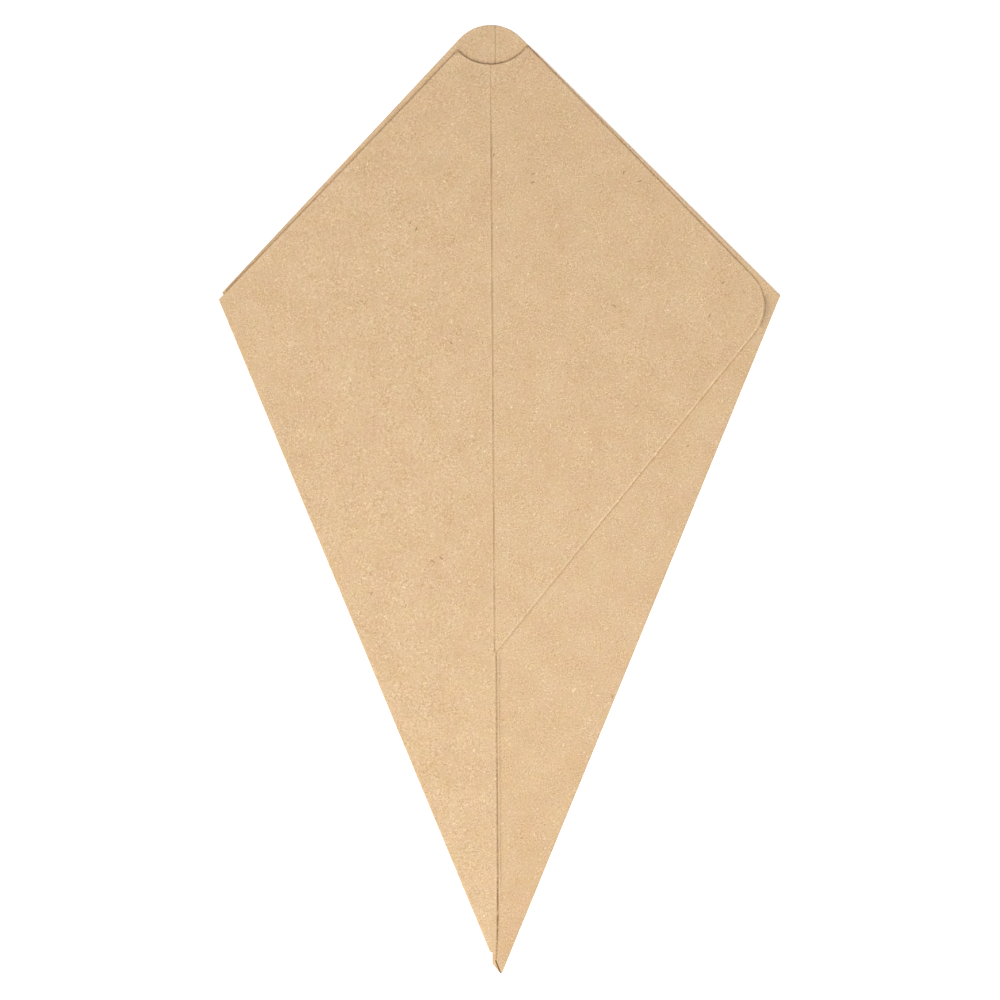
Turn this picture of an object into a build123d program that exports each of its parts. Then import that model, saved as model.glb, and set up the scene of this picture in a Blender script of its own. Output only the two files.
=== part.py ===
"""A flat-packed fry cone: one blank of kraft card, folded round and glued to itself.

The cone lies on its rear panels. X runs across it, Y from the pointed tip to the mouth, Z up.
The model is drawn from the point where the two side folds would meet, the tip point, and
then moved so that its origin is under the middle of the finished piece, on the surface it lies on.
"""
from build123d import *
from math import cos, radians, sin, tan
import os

# Card, folds and the spring of the front, in millimetres
card = 0.32                 # thickness of the card
fold_gap = 0.2              # space left inside a pressed side fold
mouth_rise = 0.05           # how far the front springs up at the top of its centre score

# The kite that the side folds and the rear mouth edges make, angles in degrees
fold_length = 226.8         # from the tip point to each outer corner of the mouth
left_fold_angle = 22.59     # between the left fold and the vertical
right_fold_angle = 22.34    # between the right fold and the vertical
rear_left_slope = 46.9      # of the rear mouth edges, from the horizontal
rear_right_slope = 44.9
rear_top_radius = 13.1      # rounding of the rear panel's top

# The front wrap: the front left panel and the closing flap, which is one piece with it
front_left_slope = 46.2     # of the front mouth edges, from the horizontal
front_right_slope = 45.67
front_left_drop = 0.85      # from the mouth's left corner down the fold to the front edge
front_right_drop = 2.05     # from the mouth's right corner down the fold to the flap's edge
corner_step = 2.3           # along the front edge, the rear keeps to it before it steps out
flap_corner_radius = 13.4
flap_edge_angle = 39.0      # between the flap's slanted edge and the vertical
flap_foot = 99.7            # height at which the slanted edge reaches the centre
front_end = 5.5             # height at which the front left panel stops, above the tip point
edge_margin = 0.28          # from the centre score to the cut edge below the flap
edge_turn = 18.0            # height at which that cut edge turns away to the left
edge_setback = 0.6          # how far to the left it has gone where the panel stops
thumb_radius = 14.2         # of the notch that gives the thumb a hold on the rear panel
thumb_depth = 12.2          # from the rear panel's top down to the bottom of the notch

# The inner layer: the front right panel and the glue lap, which runs on under the front left one
lap_width = 15.0
lap_taper = 18.0            # between the lap's tapered lower edge and the vertical
lap_setback = 1.5           # of the lap's top edge behind the front edge that hides it
inner_notch_margin = 0.4    # by which the inner layer's notch is larger than the thumb notch

# Scores, where the card is pressed so that it folds along a line
front_score_foot = -1.0     # across, where the front centre score's line passes the tip point
front_score_lean = 0.39     # lean to the left of the centre scores, in degrees
rear_score_lean = 0.32
inner_score_offset = 1.5    # from the front centre score to the inner layer's own score
inner_score_low = 27.0      # height at which the inner score starts, above the tip point
score_setback = 1.0         # of the front score's lower end above the flap's foot
score_width = 0.5
score_depth = 0.12
bead_height = 0.08          # of the ridge that the rear score raises inside the cone

# The trimmed tip
fold_end = 7.5              # height at which the left fold is cut off, above the tip point
shoulder_height = 4.1       # height at which the rear panel's straight edge turns to the point
tip_trim = 1.1              # cut off the very point

# Room to trim in: how far the untrimmed panels and the trimming blocks run past the real
# outlines, and how far a trimming block stands clear of a fold that it must not cut
spare = 5.0
clear = 0.05


def heading(angle):
    """Unit vector in the plane of the card at an angle from +Y, positive to the right."""
    return Vector(sin(radians(angle)), cos(radians(angle)), 0)


def meet(point_a, way_a, point_b, way_b):
    """Point where two lines in the plane of the card cross."""
    across = way_a.cross(way_b).Z
    return point_a + way_a * ((point_b - point_a).cross(way_b).Z / across)


def at_height(foot, way, height):
    """Point at a height above the tip point, on a line in the plane of the card."""
    return meet(foot, way, Vector(0, height, 0), Vector(1, 0, 0))


# Directions of the folds, the mouth edges and the centre scores
left_fold = heading(-left_fold_angle)
right_fold = heading(right_fold_angle)
left_inward = Vector(cos(radians(left_fold_angle)), sin(radians(left_fold_angle)), 0)
right_inward = Vector(-cos(radians(right_fold_angle)), sin(radians(right_fold_angle)), 0)
rear_left_way = heading(90 - rear_left_slope)
rear_right_way = heading(rear_right_slope - 90)
front_left_way = heading(90 - front_left_slope)
front_right_way = heading(front_right_slope - 90)
score_foot = Vector(front_score_foot, 0, 0)
score_way = heading(-front_score_lean)
edge_foot = score_foot + Vector(edge_margin, 0, 0)
tip_point = Vector(0, 0, 0)

# The rear panel's rounded top, which places the thumb notch
left_corner = left_fold * fold_length
right_corner = right_fold * fold_length
left_edge = left_corner - left_fold * front_left_drop
step_way = Vector(-front_left_way.Y, front_left_way.X, 0)
rear_apex = meet(left_corner, rear_left_way, right_corner, rear_right_way)
half_apex = radians(180 - rear_left_slope - rear_right_slope) / 2
rear_top = rear_apex.Y - rear_top_radius * (1 / sin(half_apex) - 1)
thumb_height = rear_top - thumb_depth + thumb_radius
thumb_centre = at_height(score_foot, score_way, thumb_height)

# Radius outside the right fold, and the line along which each panel leaves its fold
fold_radius = fold_gap / 2 + card
blank_length = fold_length + spare
right_start = right_inward * fold_radius
right_finish = right_fold * blank_length + right_start
blank_top = rear_apex.Y + spare
stack_top = 3 * card + fold_gap + mouth_rise + spare
score_top = at_height(score_foot, score_way, blank_top)


def height_on(plane, point):
    """Height of a sloping plane over a point in the plane of the card."""
    normal = plane.z_dir
    across = plane.origin - point
    return (normal.X * across.X + normal.Y * across.Y) / normal.Z + plane.origin.Z


def plane_through(first, second, third):
    """Plane through three points, with its normal up."""
    normal = (second - first).cross(third - first)
    normal = normal if normal.Z > 0 else normal * -1
    return Plane(origin=first, z_dir=normal)


def lifted(point, height):
    return Vector(point.X, point.Y, height)


def right_underside():
    """Underside of the front right panel, which hinges on the right fold."""
    level = card + fold_gap
    peak = lifted(score_top, level + mouth_rise)
    return plane_through(lifted(right_start, level), lifted(right_finish, level), peak)


def left_underside():
    """Underside of the front left panel, which lies on the inner layer at the centre score."""
    corner = lifted(left_corner + left_inward * fold_radius, card + fold_gap)
    low = lifted(score_foot, height_on(right_plane, score_foot) + card)
    high = lifted(score_top, height_on(right_plane, score_top) + card)
    return plane_through(corner, low, high)


def left_tip_radius():
    """Radius outside the left fold at the tip point, where the fold takes in a third layer."""
    reach = left_inward + Vector(0, 0, 2)
    base = Vector(0, 0, -card)
    normal = left_plane.z_dir
    return normal.dot(left_plane.origin - base) / normal.dot(reach)


def left_radius(distance):
    """Radius outside the left fold at a distance along it from the tip point."""
    return tip_radius + (fold_radius - tip_radius) * distance / fold_length


# The sloping front panels, and the left fold, which narrows from the tip to the mouth
right_plane = right_underside()
left_plane = left_underside()
tip_radius = left_tip_radius()
left_start = left_inward * tip_radius
left_finish = left_fold * blank_length + left_inward * left_radius(blank_length)
left_way = (left_finish - left_start).normalized()
left_cut = at_height(left_start, left_way, fold_end)


def panel(corners, underside, drop=0.0):
    """Flat slab of card over a polygon, with its underside on a plane or a drop below it."""
    points = [lifted(p, height_on(underside, p) - drop) for p in corners]
    face = make_face(Polyline(*points, close=True))
    return extrude(face, amount=card, dir=(0, 0, 1))


def fold_section(foot, inward, way, radius):
    """Half ring of card round a side fold, standing across the fold at its outermost point."""
    inner = radius - card
    outline = [
        ThreePointArc((radius, 2 * radius), (0, radius), (radius, 0)),
        Line((radius, 0), (radius, card)),
        ThreePointArc((radius, card), (card, radius), (radius, radius + inner)),
        Line((radius, radius + inner), (radius, 2 * radius)),
    ]
    return Plane(origin=foot, x_dir=inward, z_dir=way) * make_face(outline)


def prism(outline, low=-spare, high=stack_top):
    """Upright block over an outline in the plane of the card, to trim a layer with."""
    return Pos(0, 0, low) * extrude(outline, amount=high - low, dir=(0, 0, 1))


def rounded(points, radii):
    """Closed outline with straight sides, its corners rounded by the radii, 0 for a sharp one."""
    outline = make_face(Polyline(*points, close=True))
    for point, radius in zip(points, radii):
        if radius:
            corner = outline.vertices().sort_by_distance(point)[0]
            outline = fillet(corner, radius)
    return outline


def thumb_disc(margin=0.0):
    return Pos(thumb_centre.X, thumb_centre.Y) * Circle(thumb_radius + margin)


def rear_outline():
    """Rear panels: the kite with its rounded top, and at the tip the cut that frees the left fold.

    At the mouth's left corner the rear is cut in line with the front, and then steps out.
    """
    left_out = left_inward * -clear
    right_out = right_inward * -clear
    corner_start = meet(left_out, left_fold, left_edge, front_left_way)
    corner_end = corner_start + front_left_way * corner_step
    points = [
        corner_start,
        corner_end,
        meet(corner_end, step_way, rear_apex, rear_left_way),
        rear_apex,
        meet(right_out, right_fold, rear_apex, rear_right_way),
        at_height(right_out, right_fold, tip_trim),
        Vector(0, tip_trim, 0),
        Vector(left_cut.X, shoulder_height, 0),
        left_cut,
        at_height(left_out, left_fold, fold_end),
    ]
    return rounded(points, [0, 0, 0, rear_top_radius, 0, 0, 0, 0, 0, 0])


def inner_outline():
    """Front right panel with its glue lap, which tapers to the tip."""
    right_out = right_inward * -clear
    lap_way = heading(-lap_taper)
    lap_foot = Vector(0, tip_trim, 0)
    lap_line = score_foot - Vector(lap_width, 0, 0)
    top_line = left_corner - left_fold * (front_left_drop + lap_setback)
    points = [
        lap_foot,
        meet(lap_foot, lap_way, lap_line, score_way),
        meet(lap_line, score_way, top_line, front_left_way),
        meet(top_line, front_left_way, rear_apex, rear_right_way),
        meet(right_out, right_fold, rear_apex, rear_right_way),
        at_height(right_out, right_fold, tip_trim),
    ]
    return make_face(Polyline(*points, close=True)) - thumb_disc(inner_notch_margin)


def front_outline():
    """Front left panel and closing flap, cut as one piece, with the thumb notch in their top."""
    left_out = left_inward * -clear
    right_edge = right_corner - right_fold * front_right_drop
    foot = at_height(edge_foot, score_way, flap_foot)
    points = [
        meet(left_out, left_fold, left_edge, front_left_way),
        meet(left_edge, front_left_way, right_edge, front_right_way),
        meet(right_edge, front_right_way, foot, heading(flap_edge_angle)),
        foot,
        at_height(edge_foot, score_way, edge_turn),
        at_height(edge_foot, score_way, front_end) - Vector(edge_setback, 0, 0),
        at_height(left_out, left_fold, front_end),
    ]
    return rounded(points, [0, 0, flap_corner_radius, 0, 0, 0, 0]) - thumb_disc()


def rod_along(start, end, radius):
    """Round rod between two points, to press a score or to raise its bead with."""
    way = (end - start).normalized()
    disc = Plane(origin=start, z_dir=way) * Circle(radius)
    return extrude(disc, amount=(end - start).length, dir=way)


def groove_radius(depth):
    """Radius of the rod that presses a score of the set width to a depth."""
    return (score_width ** 2 / 4 + depth ** 2) / (2 * depth)


def surface_score(surface, line_foot, low, high, rise):
    """Rod that presses a score into the upper surface of a panel, a rise over a plane."""
    sink = groove_radius(score_depth) - score_depth
    foot = at_height(line_foot, score_way, low)
    top = at_height(line_foot, score_way, high)
    start = lifted(foot, height_on(surface, foot) + rise + sink)
    end = lifted(top, height_on(surface, top) + rise + sink)
    return rod_along(start, end, groove_radius(score_depth))


def rear_scores():
    """Groove under the rear panel along its centre, and the bead that it raises on top."""
    way = heading(-rear_score_lean)
    foot = at_height(tip_point, way, fold_end)
    top = at_height(tip_point, way, blank_top)
    groove_drop = groove_radius(score_depth) - score_depth
    bead_drop = groove_radius(bead_height) - bead_height
    groove = rod_along(lifted(foot, -groove_drop), lifted(top, -groove_drop),
                       groove_radius(score_depth))
    bead = rod_along(lifted(foot, card - bead_drop), lifted(top, card - bead_drop),
                     groove_radius(bead_height))
    return groove, bead & prism(rear_outline(), low=card / 2)


def left_fold_bend():
    """The left fold, from where it is cut off near the tip to past the mouth."""
    fold_start = fold_end / cos(radians(left_fold_angle))
    sections = [
        fold_section(left_fold * at, left_inward, left_fold * -1, left_radius(at))
        for at in (fold_start, blank_length)
    ]
    return loft(sections, ruled=True)


def right_fold_bend():
    section = fold_section(tip_point, right_inward, right_fold, fold_radius)
    return extrude(section, amount=blank_length, dir=right_fold)


def folded_card():
    # Layers drawn large, before they are trimmed
    tip_corner = Vector(left_cut.X, 0, 0)
    rear_blank = [tip_corner, right_start, right_finish, score_top, left_finish, left_cut]
    right_blank = [score_foot, right_start, right_finish, score_top]
    left_tip = meet(left_start, left_way, score_foot, score_way)
    rear_panels = panel(rear_blank, Plane.XY)
    inner_right = panel(right_blank, right_plane)
    flap = panel(right_blank, right_plane, drop=-card)
    front_left = panel([left_tip, score_top, left_finish], left_plane)
    lap = panel([score_foot, score_top, left_finish], left_plane, drop=card)
    left_bend = left_fold_bend()

    # Each layer takes its own outline, and the left fold takes two, one above the other
    split = card + fold_gap / 2
    rear = prism(rear_outline())
    inner = prism(inner_outline())
    front = prism(front_outline())
    fold_below = left_bend & prism(rear_outline(), high=split)
    fold_above = left_bend & prism(front_outline(), low=split) & prism(rear_outline(), low=split)
    layers = [
        rear_panels & rear,
        fold_below,
        fold_above,
        front_left & front & rear,
        flap & front,
        lap & inner,
        inner_right & inner,
        right_fold_bend() & rear,
    ]
    sheet = layers[0].fuse(*layers[1:])

    # The front is scored above the flap's foot and cut below it, where the inner score shows
    groove, bead = rear_scores()
    inner_foot = score_foot + Vector(inner_score_offset, 0, 0)
    score_low = flap_foot + score_setback
    sheet = sheet - surface_score(right_plane, score_foot, score_low, blank_top, 2 * card)
    sheet = sheet - surface_score(right_plane, inner_foot, inner_score_low, flap_foot, card)
    return sheet - groove + bead


def on_its_origin(shape):
    """The shape with its origin under the middle of its box."""
    box = shape.bounding_box()
    return Pos(-box.center().X, -box.center().Y, -box.min.Z) * shape


os.makedirs("parts", exist_ok=True)
cone = on_its_origin(folded_card())
export_step(cone, "parts/folded_card.step")
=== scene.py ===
"""A fry cone folded from one sheet of kraft card, lying flat and seen from straight above."""
import bmesh
import bpy
from math import atan2, cos, degrees, radians, sin, tan
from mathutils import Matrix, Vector
from mathutils.geometry import intersect_point_line
from mathutils.kdtree import KDTree

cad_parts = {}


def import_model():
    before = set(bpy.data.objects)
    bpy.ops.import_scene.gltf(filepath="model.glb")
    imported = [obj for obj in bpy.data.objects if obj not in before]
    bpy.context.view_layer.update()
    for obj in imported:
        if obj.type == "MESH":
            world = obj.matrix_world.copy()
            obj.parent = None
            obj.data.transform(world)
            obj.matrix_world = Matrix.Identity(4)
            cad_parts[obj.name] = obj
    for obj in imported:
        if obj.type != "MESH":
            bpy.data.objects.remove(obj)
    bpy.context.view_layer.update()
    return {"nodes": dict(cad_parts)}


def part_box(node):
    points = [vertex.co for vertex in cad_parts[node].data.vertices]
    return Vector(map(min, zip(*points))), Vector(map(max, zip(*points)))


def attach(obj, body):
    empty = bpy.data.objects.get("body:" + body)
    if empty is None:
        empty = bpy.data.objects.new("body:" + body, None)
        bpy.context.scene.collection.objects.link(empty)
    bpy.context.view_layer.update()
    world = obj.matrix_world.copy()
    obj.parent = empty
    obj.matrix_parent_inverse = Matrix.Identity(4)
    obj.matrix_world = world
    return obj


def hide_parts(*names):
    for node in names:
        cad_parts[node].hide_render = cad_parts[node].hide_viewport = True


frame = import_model()

MM = 0.001

# The tip point, where the side folds would meet: its place in millimetres, from the card's box
FOLD_LENGTH = 226.8
RIGHT_FOLD_ANGLE = 22.34
TIP_TRIM = 1.1
CARD_LOW, CARD_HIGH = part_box("folded_card")
TIP = Vector((CARD_HIGH.x / MM - FOLD_LENGTH * sin(radians(RIGHT_FOLD_ANGLE)),
              CARD_LOW.y / MM - TIP_TRIM, 0))

# Camera: straight above, with the tip point in the photograph's column and row of pixels for it
PIXEL = 0.308
PICTURE = 1000
TIP_COLUMN = 499.84
TIP_ROW = 976.55
CAMERA_HEIGHT = 6.0
SENSOR = 36

# How finely the card is cut up, and the lines drawn beside its edges and its scores. Points
# nearer than WELD are joined, and a line takes in the points nearer than ON_LINE to it.
WELD = 0.002
ON_LINE = 0.004
GRID = 4 * MM
GRID_SHIFT = 0.37
REACH = 4.0
EDGE_LINES = (0.08, 0.2, 0.38, 0.58, 0.8, 1.1, 1.6)
SCORE_LINES = (0.4, 0.6, 0.85, 1.3)
SAMPLE = 0.5

# The scores, by where their line passes the tip point, their lean and their ends, and the heights
# that part the rear panel from the inner layer and the inner layer from the front
FRONT_SCORE = (-1.0, 0.39, 100.7, 281.0)
REAR_SCORE = (0.0, 0.32, 7.5, 293.2)
REAR_TOP = 0.6
INNER_TOP = 1.0
LAYER_STEP = 0.2

# The height above which a point is on the front and not on the rear panel
FRONT_LOW = 0.45

# What the die leaves along an edge, in millimetres
EDGE_ROUND = 0.06
EDGE_RIDGE = 0.02
RIDGE_AT = 0.58
RIDGE_HALF_WIDTH = 0.3
SHOULDER = 0.025
SHOULDER_AT = 0.6

# How far the front's cut edges that face right stand out beyond the card's solid
PUSH = 0.2
PUSH_CLEAR_OF_NOTCH = 12.5

# The mouth is pressed down a little under the thumb notch
PRESS = 0.17
PRESS_REACH = 17.0

# Painted highlight and painted shade along the cut edges are strongest on the edges that face this
# way, as the light falls, and every edge gets at least this much
EDGE_LIGHT_AND_SHADE_WAY = Vector((0.777, -0.63, 0))
EDGE_LIGHT_AND_SHADE_LEAST = 0.25


def from_photo(column, row):
    """A place on the card, in millimetres, from its place in the photograph."""
    return TIP + Vector(((column - TIP_COLUMN) * PIXEL, (TIP_ROW - row) * PIXEL, 0))


NOTCH = from_photo(490.5, 64.0)


def camera():
    data = bpy.data.cameras.new("camera")
    data.sensor_width = SENSOR
    data.lens = SENSOR * CAMERA_HEIGHT / (PICTURE * PIXEL * MM)
    data.clip_end = 50
    obj = bpy.data.objects.new("camera", data)
    centre = PICTURE / 2 - 0.5
    obj.location = from_photo(centre, centre) * MM + Vector((0, 0, CAMERA_HEIGHT))
    bpy.context.collection.objects.link(obj)
    bpy.context.scene.camera = obj


def floor():
    bpy.ops.mesh.primitive_plane_add(size=20, location=(0, 0, 0))
    obj = bpy.context.object
    obj.name = "floor"
    mat = bpy.data.materials.new("floor")
    mat.use_nodes = True
    bsdf = mat.node_tree.nodes["Principled BSDF"]
    bsdf.inputs["Base Color"].default_value = (0.9, 0.9, 0.9, 1)
    bsdf.inputs["Roughness"].default_value = 0.8
    bsdf.inputs["Emission Color"].default_value = (1, 1, 1, 1)
    bsdf.inputs["Emission Strength"].default_value = 0.55
    obj.data.materials.append(mat)


def light(name, azimuth, elevation, distance, size, energy):
    """Azimuth is the compass side it comes from: 0 from +Y, 180 from -Y, 225 from -X -Y."""
    data = bpy.data.lights.new(name, "AREA")
    data.size = size
    data.energy = energy
    obj = bpy.data.objects.new(name, data)
    a, e = radians(azimuth), radians(elevation)
    way = Vector((sin(a) * cos(e), cos(a) * cos(e), sin(e)))
    obj.location = way * distance
    obj.rotation_mode = "QUATERNION"
    obj.rotation_quaternion = way.to_track_quat("Z", "Y")
    bpy.context.collection.objects.link(obj)


def world(strength):
    w = bpy.data.worlds.new("world")
    w.use_nodes = True
    w.node_tree.nodes["Background"].inputs["Color"].default_value = (1, 1, 1, 1)
    w.node_tree.nodes["Background"].inputs["Strength"].default_value = strength
    bpy.context.scene.world = w


def cut_up(bm):
    """Cuts the card along a square grid, so that lines can be drawn on it and it can be shaped."""
    for axis in (0, 1):
        across = Vector([axis == 0, axis == 1, 0])
        for step in range(1, int((CARD_HIGH[axis] - CARD_LOW[axis]) / GRID) + 1):
            place = across * (CARD_LOW[axis] + (step - GRID_SHIFT) * GRID)
            everything = bm.verts[:] + bm.edges[:] + bm.faces[:]
            bmesh.ops.bisect_plane(bm, geom=everything, dist=1e-7, plane_co=place, plane_no=across)
    bmesh.ops.triangulate(bm, faces=bm.faces[:])


def is_wall(face):
    """A cut edge's own narrow face stands upright."""
    return abs(face.normal.z) < 0.3


def is_panel(face):
    return abs(face.normal.z) > 0.7


def is_cut_edge(edge):
    """Where a panel's surface ends at its cut edge."""
    a, b = edge.link_faces
    if degrees(edge.calc_face_angle_signed(0)) < 60:
        return False
    return is_wall(a) and is_panel(b) or is_wall(b) and is_panel(a)


def cut_edges(bm):
    return [edge for edge in bm.edges if is_cut_edge(edge)]


def split_spans(bm, rims):
    """Splits each edge that spans a panel from rim to rim, which no line could cross otherwise."""
    on_rim = {v for e in rims for v in e.verts}
    rims = set(rims)
    spans = [e for e in bm.edges if e not in rims and on_rim.issuperset(e.verts)
             and not any(is_wall(f) for f in e.link_faces)]
    for edge in spans:
        bmesh.utils.edge_split(edge, edge.verts[0], 0.5)
    bmesh.ops.triangulate(bm, faces=[f for f in bm.faces if len(f.verts) > 3])


class RimFinder:
    """Finds the nearest cut edge of the same layer to a point of a panel."""

    def __init__(self, rims):
        self.spots = {1: [], -1: []}
        for edge in rims:
            wall, panel = sorted(edge.link_faces, key=lambda face: abs(face.normal.z))
            side = 1 if panel.normal.z > 0 else -1
            a, b = (v.co.copy() for v in edge.verts)
            count = max(1, int((b - a).length / (SAMPLE * MM)))
            for i in range(count):
                self.spots[side].append((a.lerp(b, (i + 0.5) / count), a, b, wall.normal.copy()))
        self.trees = {side: self.tree(spots) for side, spots in self.spots.items()}

    def tree(self, spots):
        tree = KDTree(len(spots))
        for i, spot in enumerate(spots):
            tree.insert(spot[0], i)
        tree.balance()
        return tree

    def nearest(self, place, side):
        """Distance in millimetres, and how strong that edge's painted highlight and painted shade
        are.
        """
        best = REACH
        edge_light_and_shade = 0
        for near, index, gap in self.trees[side].find_n(place, 12):
            if abs(near.z - place.z) > LAYER_STEP * MM or gap / MM > best + SAMPLE:
                continue
            spot, a, b, outward = self.spots[side][index]
            foot, share = intersect_point_line(place, a, b)
            foot = a.lerp(b, min(max(share, 0), 1))
            if (place - foot).length / MM < best:
                best = (place - foot).length / MM
                edge_light_and_shade = edge_light_and_shade_of(outward)
        return best, edge_light_and_shade


# Strength of an edge's painted highlight and painted shade, from the way the edge faces
def edge_light_and_shade_of(outward):
    return EDGE_LIGHT_AND_SHADE_LEAST + (1 - EDGE_LIGHT_AND_SHADE_LEAST) * max(0, outward.dot(EDGE_LIGHT_AND_SHADE_WAY)) ** 4


def line_distance(place, start, end):
    """Distance in millimetres, seen from above, from a point to a straight line."""
    flat = Vector((place.x / MM, place.y / MM, 0))
    foot, share = intersect_point_line(flat, start, end)
    foot = start.lerp(end, min(max(share, 0), 1))
    return min(REACH, (flat - foot).length)


def score_distance(place):
    """Distance from the rear or the front score, whichever is on the layer that a point is on."""
    height = place.z / MM
    if REAR_TOP < height < INNER_TOP:
        return REACH
    foot, lean, low, high = REAR_SCORE if height < REAR_TOP else FRONT_SCORE
    ends = [TIP + Vector((foot - tan(radians(lean)) * at, at, 0)) for at in (low, high)]
    return line_distance(place, *ends)


def measure(bm, rims):
    """Keeps each point's distance from the nearest cut edge and score, and the strength of that
    edge's painted highlight and painted shade.
    """
    for name in ("edge_distance", "score_distance", "edge_light_and_shade"):
        bm.verts.layers.float.new(name)
    rim_layer, score_layer, edge_light_and_shade_layer = bm.verts.layers.float.values()
    finder = RimFinder(rims)
    on_rim = {v for e in rims for v in e.verts}
    for v in bm.verts:
        v[rim_layer] = REACH
        if abs(v.normal.z) > 0.5 or v in on_rim:
            side = 1 if v.normal.z > 0 else -1
            v[rim_layer], v[edge_light_and_shade_layer] = finder.nearest(v.co, side)
        if v in on_rim:
            v[rim_layer] = 0
        v[score_layer] = score_distance(v.co)
    return rim_layer, score_layer


def draw_line(bm, layer, level):
    """Cuts the card along the line where the layer's value is level."""
    for edge in bm.edges[:]:
        a, b = edge.verts
        over, under = a[layer] - level, b[layer] - level
        if over * under < 0 and min(abs(over), abs(under)) > ON_LINE:
            value = {other: [v[other] for v in (a, b)] for other in bm.verts.layers.float.values()}
            share = over / (over - under)
            spot = bmesh.utils.edge_split(edge, a, share)[1]
            for other, (first, second) in value.items():
                spot[other] = first + (second - first) * share
    bmesh.ops.connect_verts(bm, verts=[v for v in bm.verts if abs(v[layer] - level) <= ON_LINE])
    bmesh.ops.triangulate(bm, faces=[f for f in bm.faces if len(f.verts) > 4])


def swell(distance, place, half_width):
    """A smooth rise that is 1 at a place and 0 beyond its half width."""
    share = min(abs(distance - place) / half_width, 1)
    return (1 - share * share) ** 2


def push_rims(bm, rims):
    """Moves the front's cut edges that face right outwards: the sheet is a little wider there."""
    ways = {}
    for edge in rims:
        wall = min(edge.link_faces, key=lambda face: abs(face.normal.z))
        for v in edge.verts:
            ways.setdefault(v, []).append(wall.normal.copy())
    for v, normals in ways.items():
        away = Vector((v.co.x / MM - NOTCH.x, v.co.y / MM - NOTCH.y)).length
        way = sum(normals, Vector()).normalized()
        if v.co.z > FRONT_LOW * MM and way.x > 0.5 and away > PUSH_CLEAR_OF_NOTCH:
            v.co += Vector((way.x, way.y, 0)) * way.x * PUSH * MM


def press_mouth(bm):
    """Lowers the front layers at the thumb notch, into the gap they leave over the rear panel."""
    for v in bm.verts:
        if v.co.z > FRONT_LOW * MM:
            away = Vector((v.co.x / MM - NOTCH.x, v.co.y / MM - NOTCH.y)).length
            v.co.z -= PRESS * MM * swell(away, 0, PRESS_REACH)


def shape(bm, rims, rim_layer, score_layer):
    """Rounds the cut edges, and raises the ridges that the die leaves beside edges and scores."""
    moves = {}
    for edge in rims:
        for v in edge.verts:
            facing = {tuple(round(c, 2) for c in f.normal) for f in edge.link_faces}
            moves.setdefault(v, set()).update(facing)
    for v, ways in moves.items():
        wall = sum((Vector(w) for w in ways if abs(w[2]) < 0.5), Vector())
        panel = sum((Vector(w) for w in ways if abs(w[2]) >= 0.5), Vector())
        v.co -= (wall.normalized() + panel.normalized()) * EDGE_ROUND * MM * 0.6
    for v in bm.verts:
        if v in moves or abs(v.normal.z) < 0.5:
            continue
        rise = -EDGE_ROUND * 0.3 if abs(v[rim_layer] - EDGE_LINES[0]) < 0.01 else 0
        if v.normal.z > 0:
            rise += EDGE_RIDGE * swell(v[rim_layer], RIDGE_AT, RIDGE_HALF_WIDTH)
            rise += SHOULDER * swell(v[score_layer], SHOULDER_AT, RIDGE_HALF_WIDTH)
        elif v.co.z < 0.2 * MM:
            rise = 0
        v.co += v.normal * rise * MM


def drop_fins(bm):
    """Takes out the faces that hang on the closed surface by a single edge."""
    fins = [f for f in bm.faces if any(len(e.link_faces) == 1 for e in f.edges)]
    bmesh.ops.delete(bm, geom=fins, context="FACES")


def card_mesh():
    bm = bmesh.new()
    bm.from_mesh(frame["nodes"]["folded_card"].data)
    bmesh.ops.remove_doubles(bm, verts=bm.verts, dist=WELD * MM)
    drop_fins(bm)
    bmesh.ops.dissolve_limit(bm, angle_limit=radians(0.2), verts=bm.verts, edges=bm.edges)
    cut_up(bm)
    split_spans(bm, cut_edges(bm))
    bm.normal_update()
    rims = cut_edges(bm)
    rim_layer, score_layer = measure(bm, rims)
    for level in EDGE_LINES:
        draw_line(bm, rim_layer, level)
    for level in SCORE_LINES:
        draw_line(bm, score_layer, level)
    bm.normal_update()
    rims = cut_edges(bm)
    push_rims(bm, rims)
    shape(bm, rims, rim_layer, score_layer)
    press_mouth(bm)
    for face in bm.faces:
        face.smooth = True
        face.material_index = int(is_wall(face) and all(v[rim_layer] < 0.01 for v in face.verts))
    mesh = bpy.data.meshes.new("kraft_card")
    bm.to_mesh(mesh)
    bm.free()
    mesh.set_sharp_from_angle(angle=radians(40))
    return mesh


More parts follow.
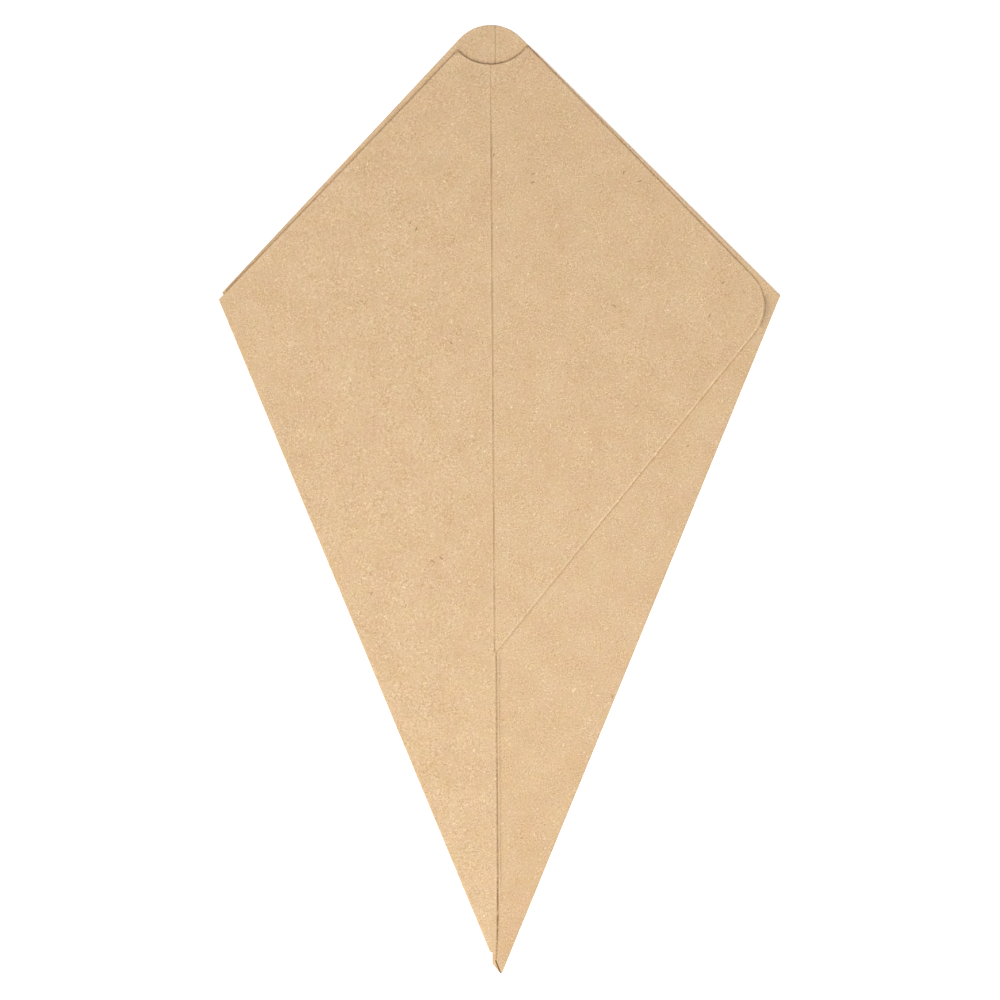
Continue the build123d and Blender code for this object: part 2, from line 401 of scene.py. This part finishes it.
class Graph:
    """A material's nodes, added by short calls that give back the new node's output."""

    def __init__(self, name):
        self.material = bpy.data.materials.new(name)
        self.material.use_nodes = True
        self.nodes = self.material.node_tree.nodes
        self.links = self.material.node_tree.links
        self.shader = self.nodes["Principled BSDF"]

    def put(self, socket, value):
        if isinstance(value, bpy.types.NodeSocket):
            self.links.new(value, socket)
        else:
            socket.default_value = value

    def add(self, kind, output, settings=None, **inputs):
        node = self.nodes.new(kind)
        for name, value in (settings or {}).items():
            setattr(node, name, value)
        for name, value in inputs.items():
            key = int(name[1:]) if name[0] == "i" and name[1:].isdigit() else name.replace("_", " ")
            self.put(node.inputs[key], value)
        return node.outputs[output]

    def sum(self, a, b):
        return self.add("ShaderNodeMath", 0, {"operation": "ADD"}, i0=a, i1=b)

    def times(self, a, b):
        return self.add("ShaderNodeMath", 0, {"operation": "MULTIPLY"}, i0=a, i1=b)

    def size(self, value):
        return self.add("ShaderNodeMath", 0, {"operation": "ABSOLUTE"}, i0=value)

    def parts(self, place):
        node = self.nodes.new("ShaderNodeSeparateXYZ")
        self.put(node.inputs[0], place)
        return node.outputs

    def ramp(self, value, low, high, to_low=0.0, to_high=1.0):
        return self.add("ShaderNodeMapRange", 0, {"interpolation_type": "SMOOTHSTEP"}, Value=value,
                        From_Min=low, From_Max=high, To_Min=to_low, To_Max=to_high)

    def mix(self, share, a, b):
        return self.add("ShaderNodeMix", 2, {"data_type": "RGBA"}, i0=share, i6=a, i7=b)

    def noise(self, place, scale, detail=2.0, roughness=0.5):
        return self.add("ShaderNodeTexNoise", 0, None, Vector=place, Scale=scale, Detail=detail,
                        Roughness=roughness)

    def voronoi(self, place, scale, output):
        return self.add("ShaderNodeTexVoronoi", output, None, Vector=place, Scale=scale)

    def turned(self, place, shift, angle, size):
        """Coordinates turned about Z, and stretched so that size becomes 1 along each axis."""
        return self.add("ShaderNodeMapping", 0, {"vector_type": "TEXTURE"}, Vector=place,
                        Location=shift, Rotation=(0, 0, radians(angle)), Scale=size)

    def value(self, name):
        return self.add("ShaderNodeAttribute", 2, {"attribute_name": name})

    def tinted(self, colour, tint):
        return self.add("ShaderNodeMix", 2, {"data_type": "RGBA", "blend_type": "MULTIPLY"}, i0=1.0,
                        i6=colour, i7=tint)


# Kraft card: mean colour in linear light, and how far one step of tone moves each channel
KRAFT = (0.716, 0.497, 0.293)
TONE_STEP = (0.040, 0.0635, 0.083)
TONE_RANGE = 10.0
TONE_GAIN = 1.22
HUE_SHIFT = (70.0, 30.0, 50.0)
FIBRE_ANGLES = (8, 47, 81, 118, 154)
PINK = (1.014, 0.993, 1.0, 1)
GREEN = (0.986, 1.006, 1.0, 1)
BLUE = (1.0, 1.0, 1.034, 1)
YELLOW = (1.0, 1.0, 0.966, 1)
# The tint of full darkening, for painted shade and for the coarse fibres' own flecks
DARKENED = (0.53, 0.49, 0.4, 1)

# Painted shade of the gap along the lap's cut edge, in three stretches, with how dark each is at
# its ends, and of the slit that it opens into at the tip
SLIT_TOP = from_photo(495.1, 959.7)
SLIT_FOOT = from_photo(500.0, 972.6)
GAP_TOP = from_photo(495.7, 651)
GAP_DARKENS = from_photo(497.1, 880)
GAP_FADES = from_photo(496.9, 932)
GAP_FOOT = from_photo(495.8, 958)
GAP = ((GAP_TOP, GAP_DARKENS, 0.25, 0.35),
       (GAP_DARKENS, GAP_FADES, 0.75, 0.8),
       (GAP_FADES, GAP_FOOT, 0.6, 0.15))

# Where the inner layer's score shows on the front right panel, as a faint line of painted shade,
# and the painted highlight of the pale line left of it
FAINT_TOP = from_photo(499.3, 655)
FAINT_FOOT = from_photo(500.6, 900)
PALE_TOP = from_photo(497.9, 655)
PALE_FOOT = from_photo(499.1, 900)

# Painted shade on the rear panel's strip under the front left cut edge, darkest towards the left
# corner
STRIP_LOW = from_photo(225.5, 290.5)
STRIP_HIGH = from_photo(292, 219)

# The few coarse fibres that stand out: how they lie, and the cell of card that may hold one
FLECK_ANGLES = (24, 67, 139)
FLECK_CELL = (10.0, 2.6, 6.0)
FLECK_RADIUS = 0.09
FLECK_SHARE = 0.16


def kraft_colour(tone, dim=1.0):
    return tuple(dim * c * (1 + tone * s) for c, s in zip(KRAFT, TONE_STEP)) + (1,)


def fibres(graph, place, length, width, low, high):
    """Short streaks in every direction, as paper fibres lie."""
    total = None
    for count, angle in enumerate(FIBRE_ANGLES):
        spot = graph.turned(place, (17.0 * count + length, 5.0 * count, 3.0 * count), angle,
                            (length, width, width))
        streak = graph.ramp(graph.noise(spot, 1.0, 1.0), low, high)
        total = streak if total is None else graph.sum(total, streak)
    return total


def specks(graph, place, spacing, radius, share):
    """Round specks in a share of the cells of an uneven grid."""
    distance = graph.voronoi(place, 1 / spacing, 0)
    spot = graph.ramp(distance, 1.1 * radius / spacing, 0.5 * radius / spacing)
    chosen = graph.ramp(graph.voronoi(place, 1 / spacing, 1), share, share - 0.01)
    return graph.times(spot, chosen)


def kraft_build_up(graph):
    """The card's tone, in steps from dark to light about 0, made of grain, fibres and specks."""
    spot = graph.add("ShaderNodeTexCoord", "Object")
    place = graph.add("ShaderNodeVectorMath", 0, {"operation": "SCALE"}, i0=spot, Scale=1 / MM)
    bend = graph.add("ShaderNodeTexNoise", 1, None, Vector=place, Scale=0.45, Detail=1.0)
    bend = graph.add("ShaderNodeVectorMath", 0, {"operation": "SCALE"}, i0=bend, Scale=3.0)
    bent = graph.add("ShaderNodeVectorMath", 0, {"operation": "ADD"}, i0=place, i1=bend)
    patches = graph.ramp(graph.noise(place, 0.25, 2.0), 0.35, 0.65, 0.6, 1.5)
    grain = graph.times(graph.ramp(graph.noise(place, 2.4, 2.0, 0.6), 0.2, 0.8, -2.7, 2.7), patches)
    clouds = graph.ramp(graph.noise(place, 0.09, 4.0, 0.6), 0.25, 0.75, -0.6, 0.6)
    tone = graph.sum(grain, clouds)
    streaks = fibres(graph, bent, length=1.6, width=0.25, low=0.62, high=0.82)
    tone = graph.sum(tone, graph.times(streaks, 5.0))
    streaks = fibres(graph, bent, length=1.3, width=0.22, low=0.64, high=0.84)
    tone = graph.sum(tone, graph.times(streaks, -5.0))
    dots = specks(graph, place, spacing=3.6, radius=0.22, share=0.35)
    tone = graph.sum(tone, graph.times(dots, -6.0))
    dots = specks(graph, bent, spacing=2.9, radius=0.25, share=0.4)
    tone = graph.sum(tone, graph.times(dots, 4.6))
    dots = specks(graph, bent, spacing=6.5, radius=0.42, share=0.55)
    tone = graph.sum(tone, graph.times(dots, 5.0))
    return place, graph.times(tone, TONE_GAIN)


def kraft(graph, place, tone, dim, dark=None):
    """Gives the shader the card's colour for a tone, with faint changes of hue, and darkening for
    painted shade and the card's own flecks.
    """
    share = graph.add("ShaderNodeMapRange", 0, None, Value=tone, From_Min=-TONE_RANGE,
                      From_Max=TONE_RANGE)
    colour = graph.mix(share, kraft_colour(-TONE_RANGE, dim), kraft_colour(TONE_RANGE, dim))
    aside = graph.add("ShaderNodeVectorMath", 0, {"operation": "ADD"}, i0=place, i1=HUE_SHIFT)
    warmth = graph.mix(graph.ramp(graph.noise(place, 0.19, 3.0), 0.3, 0.7), PINK, GREEN)
    depth = graph.mix(graph.ramp(graph.noise(aside, 0.23, 3.0), 0.3, 0.7), BLUE, YELLOW)
    colour = graph.tinted(graph.tinted(colour, warmth), depth)
    if dark:
        shade = graph.add("ShaderNodeMix", 2, {"data_type": "RGBA", "clamp_factor": False}, i0=dark,
                          i6=(1, 1, 1, 1), i7=DARKENED)
        colour = graph.tinted(colour, shade)
    graph.put(graph.shader.inputs["Base Color"], colour)


def relief(graph, height, depth):
    """Bump of a depth in millimetres."""
    normal = graph.add("ShaderNodeBump", 0, None, Height=height, Distance=depth * MM)
    graph.put(graph.shader.inputs["Normal"], normal)


def edge_highlight_and_shade(graph, place):
    """Tone of the painted highlight, a pale line inside a cut edge, and of the painted shade along
    the edge itself; both are strongest on the edges that face one way, and higher up the card.
    """
    distance = graph.value("edge_distance")
    line = graph.times(graph.ramp(distance, 0.34, 0.5), graph.ramp(distance, 0.82, 0.64))
    uneven = graph.ramp(graph.noise(place, 0.5, 2.0), 0.3, 0.7, 1.5, 3.6)
    higher = graph.ramp(graph.parts(place)[1], -45.0, 20.0, 0.8, 1.5)
    edge_light_and_shade = graph.times(graph.value("edge_light_and_shade"), higher)
    dark = graph.times(graph.ramp(distance, 0.3, 0.0), graph.sum(-1.2, graph.times(edge_light_and_shade, -2.2)))
    return graph.sum(graph.times(line, graph.times(edge_light_and_shade, uneven)), dark)


def score_shade_and_highlight(graph, place):
    """Painted shade along the middle of a pressed score, partly the darkening of its crushed
    fibres, and the painted highlight of the pale shoulder ridges beside it.
    """
    distance = graph.value("score_distance")
    depth = graph.ramp(graph.noise(place, 0.06, 3.0), 0.35, 0.65, 0.2, 0.6)
    y, z = graph.parts(place)[1:]
    on_front = graph.ramp(z, 0.45, 0.55, 0.0, 0.8)
    weak = graph.times(graph.ramp(y, NOTCH.y - 25, NOTCH.y - 5), on_front)
    depth = graph.times(depth, graph.sum(1.0, graph.times(weak, -1.0)))
    depth = graph.sum(depth, graph.ramp(z, 0.55, 0.45, 0.0, 0.15))
    pale = graph.times(graph.ramp(distance, 0.35, 0.55), graph.ramp(distance, 0.95, 0.65))
    return graph.times(graph.ramp(distance, 0.42, 0.1), depth), graph.times(pale, 0.9)


def stroke(graph, place, start, end, half_width):
    """A soft-edged line of full strength from one place to another, on the side seen from above."""
    way = end - start
    angle = degrees(atan2(way.y, way.x))
    spot = graph.turned(place, start, angle, (1, 1, 1))
    along, across, _ = graph.parts(spot)
    height = graph.parts(place)[2]
    line = graph.ramp(graph.size(across), 1.25 * half_width, 0.6 * half_width)
    line = graph.times(line, graph.ramp(along, -0.15, 0.15))
    line = graph.times(line, graph.ramp(along, way.length + 0.15, way.length - 0.15))
    return graph.times(line, graph.ramp(height, 0.1, 0.2))


def flecks(graph, place):
    """Darkness of the few coarse fibres that stand out, scattered by chance."""
    total = None
    for count, angle in enumerate(FLECK_ANGLES):
        spot = graph.turned(place, (31.0 * count + 9.0, 11.0 * count, 3.0), angle, FLECK_CELL)
        fleck = specks(graph, spot, 1.0, FLECK_RADIUS, FLECK_SHARE)
        total = fleck if total is None else graph.sum(total, fleck)
    return total


def strip_shade(graph, place):
    """Painted shade on the rear panel's strip that shows beside the front left cut edge."""
    low = graph.ramp(graph.parts(place)[2], 0.5, 0.45)
    line = graph.times(stroke(graph, place, STRIP_LOW, STRIP_HIGH, 0.5), low)
    y = graph.parts(place)[1]
    return graph.times(line, graph.ramp(y, STRIP_HIGH.y, STRIP_LOW.y, 0.15, 0.55))


def gap_shade(graph, place):
    """Painted shade of the gap along the lap's cut edge, broken up higher and open at the tip, and
    of the inner layer's faint score line.
    """
    breaks = graph.noise(graph.turned(place, (0, 0, 0), 0, (9.0, 1.6, 9.0)), 1.0, 2.0)
    broken = graph.ramp(breaks, 0.38, 0.5, 0.2, 1.15)
    total = None
    for start, end, least, most in GAP:
        depth = graph.times(graph.ramp(graph.parts(place)[1], start.y, end.y, least, most), broken)
        line = graph.times(stroke(graph, place, start, end, 0.26), depth)
        total = line if total is None else graph.sum(total, line)
    total = graph.sum(total, graph.times(stroke(graph, place, FAINT_TOP, FAINT_FOOT, 0.4), 0.15))
    return graph.sum(total, graph.times(stroke(graph, place, SLIT_TOP, SLIT_FOOT, 0.25), 1.45))


def tip_shade_and_highlight(graph, place):
    """Painted shade: the front right panel is a little darker than the left towards the tip, where
    it faces away from the light; and the painted highlight of the pale line beside the inner score.
    """
    x, y, _ = graph.parts(place)
    low = graph.ramp(y, GAP_TOP.y, SLIT_TOP.y)
    shade = graph.times(graph.times(graph.ramp(x, SLIT_TOP.x - 0.3, SLIT_TOP.x + 0.3), low), -0.9)
    return graph.sum(shade, graph.times(stroke(graph, place, PALE_TOP, PALE_FOOT, 0.2), 1.1))


def face_material():
    graph = Graph("kraft_card_face")
    place, tone = kraft_build_up(graph)
    # Painted shade in the scores, gap, slit and rear strip, painted highlights and shades along the
    # edges, scores and tip, and the coarse fibres' own flecks
    pressed, shoulder_highlight = score_shade_and_highlight(graph, place)
    painted_light_and_shade_tone = graph.sum(edge_highlight_and_shade(graph, place), graph.sum(shoulder_highlight, tip_shade_and_highlight(graph, place)))
    dark = graph.sum(graph.sum(gap_shade(graph, place), pressed), flecks(graph, place))
    dark = graph.sum(dark, strip_shade(graph, place))
    kraft(graph, place, graph.sum(tone, painted_light_and_shade_tone), 1.0, dark)
    relief(graph, graph.noise(place, 1.7, 2.0, 0.6), 0.02)
    graph.shader.inputs["Roughness"].default_value = 0.9
    graph.shader.inputs["Specular IOR Level"].default_value = 0.2
    return graph.material


def edge_material():
    """The cut edge shows the card's plies as fine lines along it."""
    graph = Graph("kraft_card_edge")
    place, tone = kraft_build_up(graph)
    plies = graph.noise(graph.turned(place, (0, 0, 0), 0, (2.0, 2.0, 0.09)), 1.0, 2.0)
    tone = graph.sum(tone, graph.ramp(plies, 0.3, 0.7, -3.0, 2.0))
    kraft(graph, place, tone, 0.85)
    relief(graph, plies, 0.03)
    graph.shader.inputs["Roughness"].default_value = 0.95
    graph.shader.inputs["Specular IOR Level"].default_value = 0.1
    return graph.material


def card():
    obj = bpy.data.objects.new("kraft_card", card_mesh())
    bpy.context.collection.objects.link(obj)
    obj.data.materials.append(face_material())
    obj.data.materials.append(edge_material())
    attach(obj, "root")
    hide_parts("folded_card")


camera()
floor()
light("key", azimuth=206, elevation=58, distance=1.2, size=1.2, energy=14.25)
light("fill", azimuth=180, elevation=75, distance=0.5, size=0.6, energy=0.55)
world(0.25)
card()
bpy.context.scene.view_settings.view_transform = "Standard"
